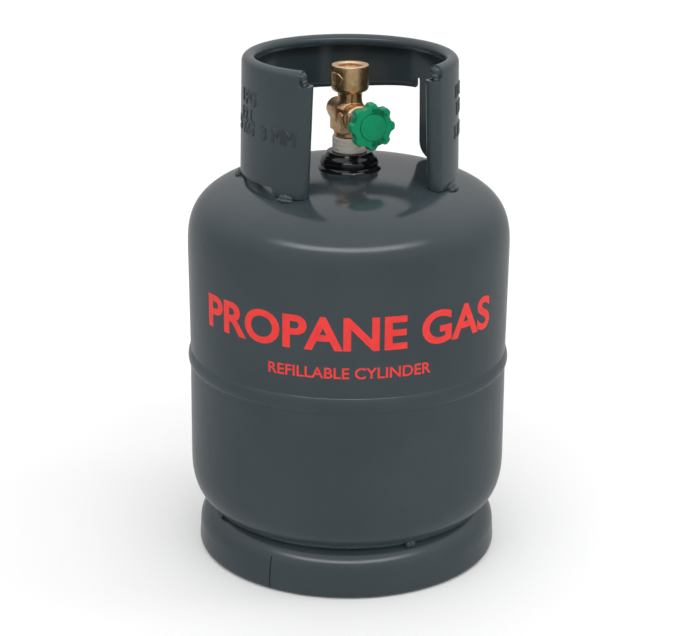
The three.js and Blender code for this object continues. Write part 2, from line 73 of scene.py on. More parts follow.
WALL = 2.6
SHEET = 2.5
BODY_RADIUS = span("upper_shell")[1].x
DOME_TOP = span("upper_shell")[1].z
MOUTH_Z = span("upper_shell")[0].z
MOUTH_RADIUS = 121.8
HEAD_DEPTH = 60.1
HEAD_POWER = 3
TOP_TANGENT = 242.8
BOTTOM_TANGENT = span("lower_shell")[0].z + HEAD_DEPTH
BOSS_HOLE_RADIUS = 16.2
BEAD_RADIUS = span("girth_weld")[1].x
BEAD_Z = (span("girth_weld")[0].z + span("girth_weld")[1].z) / 2
COLLAR_TOP = span("collar")[1].z
COLLAR_RADIUS = 80.3
COLLAR_BASE_RADIUS = 82.2
COLLAR_FOOT_Z = 297.1
CURL_RADIUS = 5.25
SPINDLE_Z = 343.5
SPINDLE_TURN = math.radians(7.5)
print("body radius", BODY_RADIUS, "dome top", round(DOME_TOP, 2), "collar top", COLLAR_TOP)

# %% [markdown]
# ## Camera, floor and light
# A long lens stands well back and looks down by nineteen degrees. The floor and the world are
# plain and pale. The world's white gives the paint its light edges, and a long strip in it
# draws the bright lines on the shoulder and on the foot ring. One soft panel fills from the
# side. The world and the finishes are built from nodes, so a few node helpers come first.

# %% Scene helpers
def linked(name, data):
    """A new object in the scene."""
    thing = bpy.data.objects.new(name, data)
    bpy.context.scene.collection.objects.link(thing)
    return thing


def baked(name, bm):
    """A mesh from a bmesh, which is freed."""
    mesh = bpy.data.meshes.new(name)
    bm.to_mesh(mesh)
    bm.free()
    return mesh


def round_axis(angle, radius=1.0, height=0.0):
    """A point at an angle round Z, counted from -Y."""
    return Vector((radius * math.sin(angle), -radius * math.cos(angle), height))


def aimed(heading):
    """The turn that points a camera or a lamp along a heading."""
    return heading.to_track_quat("-Z", "Y").to_matrix().to_4x4()


# %% Camera
CAMERA_AZIMUTH = math.radians(-14.5)
CAMERA_ELEVATION = math.radians(19.05)
CAMERA_DISTANCE = 1481.0
CAMERA_ROLL = math.radians(0.46)
AIM = Vector((0, 0, 182.6))


def add_camera():
    data = bpy.data.cameras.new("camera")
    data.sensor_width, data.lens, data.shift_x, data.clip_end = 36.0, 99.23, -0.0017, 20
    camera = linked("camera", data)
    toward = round_axis(CAMERA_AZIMUTH, math.cos(CAMERA_ELEVATION), math.sin(CAMERA_ELEVATION))
    place = Matrix.Translation((AIM + toward * CAMERA_DISTANCE) * MM)
    camera.matrix_world = place @ aimed(-toward) @ Matrix.Rotation(CAMERA_ROLL, 4, "Z")
    bpy.context.scene.camera = camera
    return camera


camera = add_camera()
bpy.context.scene.view_settings.view_transform = "Standard"
print("camera at", [round(x, 3) for x in camera.matrix_world.translation])


# %% Node helpers
def add_node(tree, kind, **settings):
    made = tree.nodes.new(kind)
    for name, value in settings.items():
        setattr(made, name, value)
    return made


def scaled(tree, value, low, high, source_low=0.0, source_high=1.0, ease="LINEAR"):
    """A value mapped from one range to another."""
    made = add_node(tree, "ShaderNodeMapRange", interpolation_type=ease)
    tree.links.new(value, made.inputs["Value"])
    limits = ("From Min", source_low), ("From Max", source_high), ("To Min", low), ("To Max", high)
    for name, limit in limits:
        made.inputs[name].default_value = limit
    return made.outputs["Result"]


def blended(tree, mask, first, second):
    """The first colour where the mask is 0, the second where it is 1."""
    made = add_node(tree, "ShaderNodeMix", data_type="RGBA")
    tree.links.new(mask, made.inputs["Factor"])
    for socket, colour in ((made.inputs[6], first), (made.inputs[7], second)):
        if isinstance(colour, bpy.types.NodeSocket):
            tree.links.new(colour, socket)
        else:
            socket.default_value = (*colour, 1.0)
    return made.outputs[2]


def added(tree, first, second, share):
    """first + share * second."""
    made = add_node(tree, "ShaderNodeMath", operation="MULTIPLY_ADD")
    tree.links.new(second, made.inputs[0])
    made.inputs[1].default_value = share
    tree.links.new(first, made.inputs[2])
    return made.outputs[0]


def joined(tree, operation, first, second):
    """Two values through one operation of a Math node."""
    made = add_node(tree, "ShaderNodeMath", operation=operation)
    tree.links.new(first, made.inputs[0])
    tree.links.new(second, made.inputs[1])
    return made.outputs[0]


def new_material(name, **sockets):
    """A material and its Principled shader, with constants set on the shader's own sockets."""
    material = bpy.data.materials.new(name)
    material.use_nodes = True
    shader = material.node_tree.nodes["Principled BSDF"]
    for label, value in sockets.items():
        shader.inputs[label.replace("_", " ")].default_value = value
    return material, material.node_tree, shader


# %% Floor, world and soft panel
STRIP_ENDS = 0.15, 0.68
STRIP_LOWER_EDGE = 0.58, 0.65
STRIP_UPPER_EDGE = 0.69, 0.76


def add_panel(name, place, aim, width, height, watts):
    data = bpy.data.lights.new(name, "AREA")
    data.shape, data.size, data.size_y, data.energy = "RECTANGLE", width, height, watts
    panel = linked(name, data)
    panel.matrix_world = Matrix.Translation(place) @ aimed(Vector(aim) - Vector(place))
    return panel


def add_world(at_horizon, overhead, strip):
    """A white tent, dimmer at eye level than overhead, with a long bright strip in front.

    Seen directly it is plain white, so that it meets the floor without a line."""
    world = bpy.data.worlds.new("studio")
    world.use_nodes = True
    tree, smooth = world.node_tree, "SMOOTHSTEP"
    backdrop = tree.nodes["Background"]
    backdrop.inputs["Color"].default_value = (1.0, 1.0, 1.0, 1.0)
    place = add_node(tree, "ShaderNodeTexCoord").outputs["Object"]
    direction = add_node(tree, "ShaderNodeSeparateXYZ")
    tree.links.new(place, direction.inputs["Vector"])
    height = direction.outputs["Z"]
    ahead = add_node(tree, "ShaderNodeVectorMath", operation="DOT_PRODUCT")
    ahead.inputs[1].default_value = round_axis(CAMERA_AZIMUTH)
    tree.links.new(place, ahead.inputs[0])
    in_front = scaled(tree, ahead.outputs["Value"], 0, strip, *STRIP_ENDS, smooth)
    above = scaled(tree, height, 0, 1, *STRIP_LOWER_EDGE, smooth)
    below = scaled(tree, height, 1, 0, *STRIP_UPPER_EDGE, smooth)
    band = joined(tree, "MULTIPLY", joined(tree, "MULTIPLY", above, below), in_front)
    climb = scaled(tree, height, at_horizon, overhead, 0, 1, smooth)
    seen = add_node(tree, "ShaderNodeLightPath").outputs["Is Camera Ray"]
    lit = joined(tree, "MAXIMUM", joined(tree, "ADD", climb, band), seen)
    tree.links.new(lit, backdrop.inputs["Strength"])
    bpy.context.scene.world = world


def add_floor():
    bm = bmesh.new()
    bmesh.ops.create_grid(bm, x_segments=1, y_segments=1, size=6.0)
    floor = linked("floor", baked("floor", bm))
    white, _, _ = new_material("floor_white", Base_Color=(0.98, 0.98, 0.98, 1.0), Roughness=0.7)
    floor.data.materials.append(white)
    floor.visible_glossy = False


add_world(at_horizon=0.42, overhead=1.1, strip=4.7)
add_floor()
side_panel = add_panel("side_panel", place=(1.5, -0.4, 0.9), aim=(0, 0, 0.2), width=0.5,
                       height=1.2, watts=4)
side_panel.visible_glossy = False
print("stage ready")

# %% [markdown]
# ## Helpers for turned and formed pieces
# Most of the cylinder is round about its own axis, so a section in the radius-height plane is
# spun round Z. `rounded` turns sharp corners of such a section into short arcs. `piece` puts a
# finished mesh in the scene, rides it on its CAD body and hides the CAD node it stands for.

# %% Outline helpers
def rounded(corners, steps=4):
    """Corners are (radius, height) or (radius, height, fillet); fillets become short arcs."""
    outline = []
    count = len(corners)
    for i, corner in enumerate(corners):
        here = Vector(corner[:2])
        fillet = corner[2] if len(corner) > 2 else 0
        if fillet == 0:
            outline.append(tuple(here))
            continue
        back = (Vector(corners[i - 1][:2]) - here).normalized()
        ahead = (Vector(corners[(i + 1) % count][:2]) - here).normalized()
        half = back.angle(ahead) / 2
        reach = fillet / math.tan(half)
        centre = here + (back + ahead).normalized() * fillet / math.sin(half)
        start = here + back * reach - centre
        end = here + ahead * reach - centre
        sweep = start.angle_signed(end)
        for k in range(steps + 1):
            spoke = start.copy()
            spoke.rotate(Matrix.Rotation(-sweep * k / steps, 2))
            outline.append(tuple(centre + spoke))
    return outline


def arc(centre, radius, start, end, steps):
    """Points on an arc in the section plane, angles in degrees."""
    turns = [math.radians(start + (end - start) * k / steps) for k in range(steps + 1)]
    return [(centre[0] + radius * math.cos(t), centre[1] + radius * math.sin(t)) for t in turns]


def turned(outline, steps=192):
    """A section of (radius, height) points spun round Z; open ones start and end on the axis."""
    bm = bmesh.new()
    verts = [bm.verts.new((radius, 0, height)) for radius, height in outline]
    edges = [bm.edges.new(pair) for pair in zip(verts, verts[1:])]
    if outline[0][0] > 1e-6:
        edges.append(bm.edges.new((verts[-1], verts[0])))
    bmesh.ops.spin(bm, geom=verts + edges, cent=(0, 0, 0), axis=(0, 0, 1), angle=2 * math.pi,
                   steps=steps, use_merge=True, use_duplicate=False)
    bmesh.ops.remove_doubles(bm, verts=bm.verts, dist=1e-4)
    bmesh.ops.recalc_face_normals(bm, faces=bm.faces)
    return bm


# %% Placing helpers
SPINDLE_FRAME = (Matrix.Translation((0, 0, SPINDLE_Z))
                 @ Matrix.Rotation(SPINDLE_TURN, 4, "Z") @ Matrix.Rotation(math.pi / 2, 4, "X"))


def along_spindle(bm):
    """Moves a mesh that was turned round Z onto the spindle's axis."""
    bmesh.ops.transform(bm, matrix=SPINDLE_FRAME, verts=bm.verts)
    return bm


def merged(*parts):
    """Several bmeshes in one; the parts are freed."""
    whole = bmesh.new()
    for part in parts:
        mesh = baked("part", part)
        whole.from_mesh(mesh)
        bpy.data.meshes.remove(mesh)
    return whole


def everything(bm):
    return bm.verts[:] + bm.edges[:] + bm.faces[:]


def piece(name, bm, material, body="cylinder", nodes=(), degrees=32):
    """A finished piece from a bmesh in millimetres; edges sharper than degrees stay crisp."""
    bmesh.ops.scale(bm, vec=(MM, MM, MM), verts=bm.verts)
    thing = linked(name, baked(name, bm))
    thing.data.shade_smooth()
    thing.data.set_sharp_from_angle(angle=math.radians(degrees))
    thing.data.materials.append(material)
    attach(thing, body)
    if nodes:
        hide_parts(*nodes)
    print(f"{name}: {len(thing.data.polygons)} faces")
    return thing

# %% [markdown]
# ## Finishes
# Three effects are shared by several materials, so each is a node group that is built once:
# `grain` gives a fine height from noise, `patches` gives slow changes of tone over a
# surface, and `worn_edges` finds outside corners, where paint or casting skin gets thinner.

# %% Shared effect groups
def new_group(name, inputs, outputs):
    """A shader group with float inputs (label, value) and float outputs."""
    group = bpy.data.node_groups.new(name, "ShaderNodeTree")
    for label, value in inputs:
        socket = group.interface.new_socket(label, in_out="INPUT", socket_type="NodeSocketFloat")
        socket.default_value = value
    for label in outputs:
        group.interface.new_socket(label, in_out="OUTPUT", socket_type="NodeSocketFloat")
    return group, group.nodes.new("NodeGroupInput"), group.nodes.new("NodeGroupOutput")


def noise_in(group, inlet, *labels):
    """Noise in the object's own space, with some inputs led out to the group's."""
    place = add_node(group, "ShaderNodeTexCoord")
    texture = add_node(group, "ShaderNodeTexNoise")
    group.links.new(place.outputs["Object"], texture.inputs["Vector"])
    for label in labels:
        group.links.new(inlet.outputs[label], texture.inputs[label])
    return texture


def grain_group():
    group, inlet, outlet = new_group("grain", [("Scale", 400.0), ("Detail", 3.0)], ["Height"])
    texture = noise_in(group, inlet, "Scale", "Detail")
    group.links.new(texture.outputs["Fac"], outlet.inputs["Height"])
    return group


def masked(group, value, inlet, outlet, first, last):
    """A smooth mask from a value, between two limits that are inputs of the group."""
    limits = add_node(group, "ShaderNodeMapRange", interpolation_type="SMOOTHSTEP")
    group.links.new(value, limits.inputs["Value"])
    group.links.new(inlet.outputs[first], limits.inputs["From Min"])
    group.links.new(inlet.outputs[last], limits.inputs["From Max"])
    group.links.new(limits.outputs["Result"], outlet.inputs["Mask"])
    return group


def patches_group():
    group, inlet, outlet = new_group("patches", [("Scale", 12.0), ("Low", 0.35), ("High", 0.7)],
                                     ["Mask"])
    texture = noise_in(group, inlet, "Scale")
    texture.inputs["Detail"].default_value = 5.0
    texture.inputs["Roughness"].default_value = 0.6
    return masked(group, texture.outputs["Fac"], inlet, outlet, "Low", "High")


def worn_edges_group():
    group, inlet, outlet = new_group("worn_edges", [("Start", 0.53), ("End", 0.6)], ["Mask"])
    geometry = add_node(group, "ShaderNodeNewGeometry")
    return masked(group, geometry.outputs["Pointiness"], inlet, outlet, "Start", "End")


GRAIN, PATCHES, WORN_EDGES = grain_group(), patches_group(), worn_edges_group()


def use(tree, group, **values):
    """The output of a group that is placed in a material with its own values."""
    made = add_node(tree, "ShaderNodeGroup", node_tree=group)
    for label, value in values.items():
        made.inputs[label].default_value = value
    return made.outputs[0]


def coated(tree, shader, colour, rough):
    tree.links.new(colour, shader.inputs["Base Color"])
    tree.links.new(rough, shader.inputs["Roughness"])


def bump(tree, shader, height, distance, strength=1.0):
    made = add_node(tree, "ShaderNodeBump")
    made.inputs["Distance"].default_value = distance
    made.inputs["Strength"].default_value = strength
    tree.links.new(height, made.inputs["Height"])
    tree.links.new(made.outputs["Normal"], shader.inputs["Normal"])


# %% [markdown]
# ### Slate enamel
# The steel is sprayed with a slate grey enamel and baked. It is smooth and semi-gloss, with a
# faint orange peel, slow changes of tone, and a slightly paler line where it thins on edges.
# The stamped marks get a darker tone of it: painted shade that stands in for the shadows on the
# slopes of the raised letters.

# %% Enamel
def enamel(name, dark, light, roughness, peel):
    material, tree, shader = new_material(name, IOR=1.5, Specular_IOR_Level=0.5)
    tone = use(tree, PATCHES, Scale=9.0)
    fine = use(tree, GRAIN, Scale=650.0, Detail=2.0)
    edge = use(tree, WORN_EDGES, Start=0.54, End=0.64)
    colour = blended(tree, tone, dark, light)
    paler = scaled(tree, edge, 0.0, 0.35)
    colour = blended(tree, paler, colour, tuple(3.0 * x for x in light))
    smudge = use(tree, PATCHES, Scale=22.0, Low=0.3, High=0.75)
    rough = scaled(tree, smudge, roughness - 0.04, roughness + 0.05)
    coated(tree, shader, colour, rough)
    slow = use(tree, GRAIN, Scale=90.0, Detail=1.0)
    height = added(tree, slow, fine, 0.15)
    bump(tree, shader, height, 2.5 * peel)
    return material


SLATE = enamel("slate_enamel", (0.033, 0.046, 0.053), (0.039, 0.054, 0.061),
               roughness=0.15, peel=0.00002)
BLACK_ENAMEL = enamel("black_enamel", (0.004, 0.005, 0.006), (0.010, 0.012, 0.014),
                      roughness=0.10, peel=0.00012)
# painted shade: the stamped letters get a darker enamel than the collar, in place of the shadows
# on their slopes
STAMP_SHADE_ENAMEL = enamel("stamp_painted_shade_enamel", (0.020, 0.028, 0.033), (0.026, 0.036, 0.042),
                        roughness=0.2, peel=0.00002)
print("enamels ready")

# %% [markdown]
# ### Brass
# The valve is a hot forging: its skin is brown, dull and finely pitted. The outlet, the bonnet
# and the spindle are cut on a lathe, so they are brighter and carry fine rings from the tool.

# %% Brass
def forged_brass():
    material, tree, shader = new_material("forged_brass", Metallic=1.0)
    tone = use(tree, PATCHES, Scale=120.0, Low=0.3, High=0.72)
    stain = use(tree, PATCHES, Scale=45.0, Low=0.45, High=0.7)
    edge = use(tree, WORN_EDGES, Start=0.50, End=0.60)
    colour = blended(tree, tone, (0.80, 0.51, 0.26), (1.0, 0.74, 0.43))
    colour = blended(tree, stain, colour, (0.50, 0.29, 0.13))
    colour = blended(tree, edge, colour, (0.95, 0.70, 0.43))
    coated(tree, shader, colour, scaled(tree, tone, 0.36, 0.24))
    fine = use(tree, GRAIN, Scale=1500.0, Detail=4.0)
    slow = use(tree, GRAIN, Scale=350.0, Detail=2.0)
    height = added(tree, fine, slow, 1.5)
    bump(tree, shader, height, 0.00025, 0.7)
    return material


def machined_brass(name="machined_brass", axis_turn=(0.0, 0.0, 0.0)):
    """axis_turn is the rotation that brings the turning axis upright."""
    material, tree, shader = new_material(name, Metallic=1.0, Anisotropic=0.4)
    place = add_node(tree, "ShaderNodeTexCoord")
    turn = add_node(tree, "ShaderNodeMapping", vector_type="POINT")
    turn.inputs["Rotation"].default_value = axis_turn
    rings = add_node(tree, "ShaderNodeTexWave", wave_type="BANDS", bands_direction="Z")
    rings.inputs["Scale"].default_value = 900.0
    rings.inputs["Distortion"].default_value = 1.5
    tree.links.new(place.outputs["Object"], turn.inputs["Vector"])
    tree.links.new(turn.outputs["Vector"], rings.inputs["Vector"])
    tone = use(tree, PATCHES, Scale=90.0, Low=0.3, High=0.7)
    edge = use(tree, WORN_EDGES, Start=0.52, End=0.62)
    colour = blended(tree, tone, (0.66, 0.43, 0.25), (0.80, 0.55, 0.34))
    colour = blended(tree, edge, colour, (0.92, 0.70, 0.50))
    coated(tree, shader, colour, scaled(tree, tone, 0.34, 0.26))
    bump(tree, shader, rings.outputs["Fac"], 0.00004)
    return material


FORGED_BRASS = forged_brass()
MACHINED_BRASS = machined_brass()
CROSS_BRASS = machined_brass("cross_turned_brass", (math.pi / 2, 0.0, -SPINDLE_TURN))
print("brass ready")

# %% [markdown]
# ### Plastic, tape, ink and small parts
# The handwheel is moulded in a strong green plastic with a soft gloss. The thread tape is
# off-white and matt. The lettering is screen-printed in red. The parts inside the valve are
# rubber, nylon and plated steel.

# %% Plain finishes
def moulded(name, dark, light, roughness, grain_scale, depth, **sockets):
    """A finish with slow changes of tone and a fine grain: plastic, rubber, ink or plating."""
    material, tree, shader = new_material(name, **sockets)
    tone = use(tree, PATCHES, Scale=160.0, Low=0.3, High=0.7)
    coated(tree, shader, blended(tree, tone, dark, light),
           scaled(tree, tone, roughness - 0.04, roughness + 0.05))
    fine = use(tree, GRAIN, Scale=grain_scale, Detail=3.0)
    bump(tree, shader, fine, depth)
    return material


GREEN = moulded("green_plastic", (0.0, 0.235, 0.098), (0.0, 0.27, 0.112), 0.2, 900.0, 0.00004,
                Specular_IOR_Level=0.25)
# The words on the wheel are a darker green than the wheel itself.
GREEN_WORDS = moulded("darker_green_plastic", (0.0, 0.12, 0.05), (0.0, 0.17, 0.072), 0.3, 900.0,
                      0.00004, Specular_IOR_Level=0.25)
TAPE = moulded("thread_tape", (0.67, 0.62, 0.54), (0.81, 0.76, 0.67), 0.55, 700.0, 0.0001)
RED_INK = moulded("red_ink", (0.76, 0.024, 0.020), (0.84, 0.032, 0.026), 0.4, 1500.0, 0.00001)
RUBBER = moulded("black_rubber", (0.012, 0.012, 0.013), (0.02, 0.02, 0.021), 0.6, 1800.0, 0.00004)
NYLON = moulded("natural_nylon", (0.66, 0.63, 0.55), (0.74, 0.71, 0.64), 0.42, 1200.0, 0.00003)
STEEL = moulded("plated_steel", (0.55, 0.56, 0.57), (0.66, 0.66, 0.66), 0.26, 2000.0, 0.00002,
                Metallic=1.0)
print("plain finishes ready")

# %% [markdown]
# ## The pressure vessel
# Each half is deep-drawn from one sheet: a straight wall that turns into a rounded head. The
# head's outline is a superellipse, flatter on top than a circle, with its bend gathered at the
# shoulder. A section of wall thickness is spun round the axis, which is how such a half is made
# by a spinning lathe as well. The upper half narrows slightly towards its mouth.

# %% Vessel halves
def head_rise(radius, crown, depth):
    return depth * max(0.0, 1 - (radius / crown) ** HEAD_POWER) ** (1 / HEAD_POWER)


def dome_z(radius):
    return TOP_TANGENT + head_rise(radius, BODY_RADIUS, HEAD_DEPTH)


def head_outline(crown, depth, inner_radius, steps):
    """Head outline from its tangent line inwards, as (radius, rise)."""
    last = math.acos((inner_radius / crown) ** (HEAD_POWER / 2))
    outline = []
    for k in range(steps + 1):
        radius = crown * max(0.0, math.cos(last * k / steps)) ** (2 / HEAD_POWER)
        outline.append((radius, head_rise(radius, crown, depth)))
    return outline


def straight(first, last, steps):
    """Points between two section points, the first included and the last left out."""
    first, last = Vector(first), Vector(last)
    return [tuple(first.lerp(last, k / steps)) for k in range(steps)]


def head_skins(tangent, up, inner_radius):
    """Outer and inner outline of a head that rises (up = 1) or falls (-1) from its tangent."""
    return [[(r, tangent + up * z) for r, z in
             head_outline(BODY_RADIUS - inset, HEAD_DEPTH - inset, inner_radius, steps)]
            for inset, steps in ((0, 64), (WALL, 24))]


def upper_half():
    outside, inside = head_skins(TOP_TANGENT, 1, BOSS_HOLE_RADIUS)
    wall = straight((MOUTH_RADIUS, MOUTH_Z), outside[0], 10)
    return turned([(MOUTH_RADIUS - WALL, MOUTH_Z), *wall, *outside, *reversed(inside)])


def lower_half():
    outside, inside = head_skins(BOTTOM_TANGENT, -1, 0)
    rim = MOUTH_RADIUS - WALL - 0.3
    rim_top = span("lower_shell")[1].z
    joggle = [
        *straight(outside[0], (MOUTH_RADIUS + 0.2, BEAD_Z - 6), 8),
        (MOUTH_RADIUS + 0.2, BEAD_Z - 6), (rim, BEAD_Z - 2.5), (rim, rim_top),
        (rim - WALL, rim_top), (rim - WALL, BEAD_Z - 3.5), (MOUTH_RADIUS - WALL, BEAD_Z - 7),
    ]
    return turned([*reversed(outside[1:]), *joggle, *inside])


piece("upper_half", upper_half(), SLATE, nodes=["upper_shell"])
piece("lower_half", lower_half(), SLATE, nodes=["lower_shell"])

# %% [markdown]
# ### Girth weld
# One pass of submerged-arc weld joins the halves over a joggled rim. Under paint it is a low
# band, about twelve millimetres tall, with a soft crest that sits a little below its middle.
# Its surface keeps a slow ripple from the arc, so the spun band's vertices are moved in and out
# by a little noise.

# %% Girth weld
def rippled(bm, depth, lengthwise):
    """Sinks vertices by noise, towards the axis, so the piece stays inside its own box."""
    for vert in bm.verts:
        outward = Vector((vert.co.x, vert.co.y, 0)).normalized()
        value = 0.5 + 0.5 * noise.noise(vert.co * lengthwise)
        vert.co -= outward * depth * value
    return bm


def girth_bead():
    root, rise = MOUTH_RADIUS - WALL, BEAD_RADIUS - MOUTH_RADIUS
    height, steps, low_crest, fullness = 12.8, 24, 0.86, 0.8
    crest = []
    for k in range(steps + 1):
        share = k / steps
        swell = math.sin(math.pi * share ** low_crest) ** fullness
        crest.append((MOUTH_RADIUS - 0.1 + (rise + 0.1) * swell,
                      BEAD_Z - height / 2 + height * share))
    band = turned([(root + 0.1, BEAD_Z - 1.9), *crest, (root + 0.1, MOUTH_Z - 0.3)], 360)
    return rippled(band, depth=0.22, lengthwise=0.09)


piece("girth_bead", girth_bead(), SLATE, nodes=["girth_weld"])

# %% [markdown]
# ### Valve boss
# A turned steel boss is welded into the top of the dome. It has a bulging collar that the
# valve's tapered thread is screwed down into. The paint is thick and shiny there, and the weld
# round its foot is uneven.

# %% Valve boss
def boss():
    low, high = span("valve_boss")
    bore, spigot, widest = 12.6, 15.7, high.x
    base = 303.2
    outline = [
        (bore, low.z), (spigot, low.z), (spigot, base), (18.2, base), (19.6, 304.0),
        *arc((widest - 5.2, 308.2), 5.2, -42, 62, 10),
        (18.6, 313.6), (17.9, 314.6), *arc((16.7, high.z - 1.0), 1.0, 20, 90, 4),
        (bore + 0.8, high.z), (bore, high.z - 0.8),
    ]
    return rippled(turned(outline, 160), depth=0.45, lengthwise=0.16)


def boss_fillet():
    high = span("boss_weld")[1]
    outline = [
        (18.8, 303.15), (high.x - 1.6, 302.6), (high.x - 2.0, 303.6), (high.x - 2.8, 304.8),
        (high.x - 3.9, 305.6), (high.x - 5.0, 305.6), (20.2, 304.4),
    ]
    return rippled(turned(outline, 160), depth=0.5, lengthwise=0.22)


piece("boss", boss(), BLACK_ENAMEL, nodes=["valve_boss"])
piece("boss_fillet", boss_fillet(), BLACK_ENAMEL, nodes=["boss_weld"])

# %% [markdown]
# ## Foot ring
# The foot ring is a strip of sheet rolled into a hoop. Its top edge is bent in over a wide
# radius to meet the lower head, and its bottom edge is turned in flat to stand on. The hoop's
# ends meet in an upright butt joint, which is cut here as a narrow groove: two planes through
# the axis add edges beside the joint, and the vertices between them are pushed in.

# %% Foot ring
FOOT_SEAM = math.radians(-44)


def foot_hoop():
    low, high = span("foot_ring")
    radius, waist, bend, bend_z, corner = high.x, high.x - 0.7, 22.0, 16.5, 4.0
    flange = radius - corner - 7
    centre = (waist - bend, bend_z)
    outline = [
        (flange, SHEET), (flange, 0.6), (flange + 0.6, 0),
        *arc((radius - corner, corner), corner, -90, 0, 8),
        *straight((radius - 0.02, corner + 2), (waist, bend_z), 3),
        *arc(centre, bend, 0, 63.5, 22),
        *arc(centre, bend - SHEET, 63.5, 0, 14),
        *arc((radius - corner, corner), corner - SHEET, 0, -90, 5),
    ]
    return turned(outline, 240)


def cut_seam(bm, angle, width, depth, top):
    """A groove across the outside of a turned piece, at an angle round its axis."""
    middle = round_axis(angle)
    across = Vector((math.cos(angle), math.sin(angle), 0))
    for offset in (-width, -width / 3, width / 3, width):
        near = [f for f in bm.faces if f.calc_center_median().dot(middle) > 60]
        geometry = near + list({e for f in near for e in f.edges})
        geometry += list({v for f in near for v in f.verts})
        bmesh.ops.bisect_plane(bm, geom=geometry, dist=1e-5, plane_co=across * offset,
                               plane_no=across)
    for vert in bm.verts:
        aside = abs(vert.co.dot(across))
        if aside < width * 0.5 and vert.co.dot(middle) > 100 and vert.co.z < top:
            vert.co -= middle * depth
    return bm


hoop = cut_seam(foot_hoop(), FOOT_SEAM, width=0.5, depth=0.9, top=26.5)
piece("foot_hoop", hoop, SLATE, nodes=["foot_ring"])

# %% [markdown]
# ### Stitch welds
# Short fillet welds hold the foot ring and the collar. A weld is a lump of solidified drops, so
# each one is a small icosphere that is stretched along the joint, sunk into the corner between
# the two sheets, and roughened with noise into a few overlapping drops.

# %% Stitch welds
def drops(places, seed, roughness):
    """Overlapping drops of weld metal: each place is (centre, size, heading of its length)."""
    lump = bmesh.new()
    for centre, size, heading in places:
        ball = bmesh.new()
        bmesh.ops.create_icosphere(ball, subdivisions=4, radius=1.0)
        bmesh.ops.scale(ball, vec=size, verts=ball.verts)
        turn = heading.to_track_quat("X", "Z").to_matrix().to_4x4()
        bmesh.ops.transform(ball, matrix=Matrix.Translation(centre) @ turn, verts=ball.verts)
        lump = merged(lump, ball)
    for vert in lump.verts:
        coarse = noise.noise(vert.co * 0.35 + Vector((seed, 0, 0)))
        fine = noise.noise(vert.co * 1.1 + Vector((0, seed, 0)))
        vert.co += vert.normal * roughness * (coarse + 0.5 * fine)
    return lump


def kept_inside(bm, low, high):
    for vert in bm.verts:
        vert.co = Vector([max(low[i], min(high[i], vert.co[i])) for i in range(3)])
    return bm


def weld_place(node):
    """Centre, outward heading and heading along the joint of a CAD weld."""
    low, high = span(node)
    centre = (low + high) / 2
    outward = Vector((centre.x, centre.y, 0)).normalized()
    return centre, outward, Vector((-outward.y, outward.x, 0))


def collar_stitch(node, seed):
    """Drops along the foot of the collar, flattened where they run out onto the dome."""
    _, outward, along = weld_place(node)
    foot = outward * (COLLAR_BASE_RADIUS - 0.2)
    places = []
    for share, size in ((-3.2, 2.6), (0.0, 3.4), (3.0, 2.9)):
        spot = foot + along * share
        spot.z = dome_z(spot.length) + 0.6
        places.append((spot, Vector((size * 0.95, size * 1.15, size * 1.1)), outward))
        skirt = foot * 1.02 + along * share * 1.2
        skirt.z = dome_z(Vector((skirt.x, skirt.y)).length) + 0.2
        places.append((skirt, Vector((size * 1.05, size * 1.25, size * 0.6)), outward))
    return drops(places, seed, roughness=0.22)


def foot_stitch(node, seed):
    """Two drops in the corner between the foot ring's shoulder and the lower head."""
    centre, outward, along = weld_place(node)
    places = [(centre - outward * 1.7 + along * share, Vector((2.0, 2.4, 2.6)), outward)
              for share in (-1.6, 1.5)]
    return kept_inside(drops(places, seed, roughness=0.2), *span(node))


for number in range(1, 5):
    node = f"foot_ring_weld_{number}"
    piece(f"foot_stitch_{number}", foot_stitch(node, number), SLATE, nodes=[node])
    node = f"collar_weld_{number}"
    piece(f"collar_stitch_{number}", collar_stitch(node, 9 + number), SLATE,
          nodes=[node])

# %% [markdown]
# ## Guard collar
# The collar starts as a flat blank: one long strip with feet, low arches between them, a large
# cut-out for the hand and a tab in its top that becomes the lip. Here the same blank is drawn
# as one face, its corners are rounded, a fine grid of planes is cut into it, and then every
# vertex is carried to its bent place: round the ring, over the top curl, round the upright
# curls beside the opening, and under the lip. Thickness comes last, as it does for sheet.

# %% Collar blank
OPENING = math.radians(42.3)
LEAN = math.radians(2.6)
ARCH = [math.radians(a) for a in (56, 58, 104, 106)]
WINDOW = math.radians(122.3)
LIP = math.radians(124.8)
CURL_END = math.radians(215)
EDGE_CURL_RADIUS = 6.2
EDGE_CURL_END = math.radians(240)
LIP_RADIUS = 3.0
LIP_END = math.radians(200)
LIP_RISE = 3.6
CURL_START_Z = COLLAR_TOP - CURL_RADIUS
LIP_START_Z = 351.0
WINDOW_TOP = 359.5
ARCH_Z = 302.5


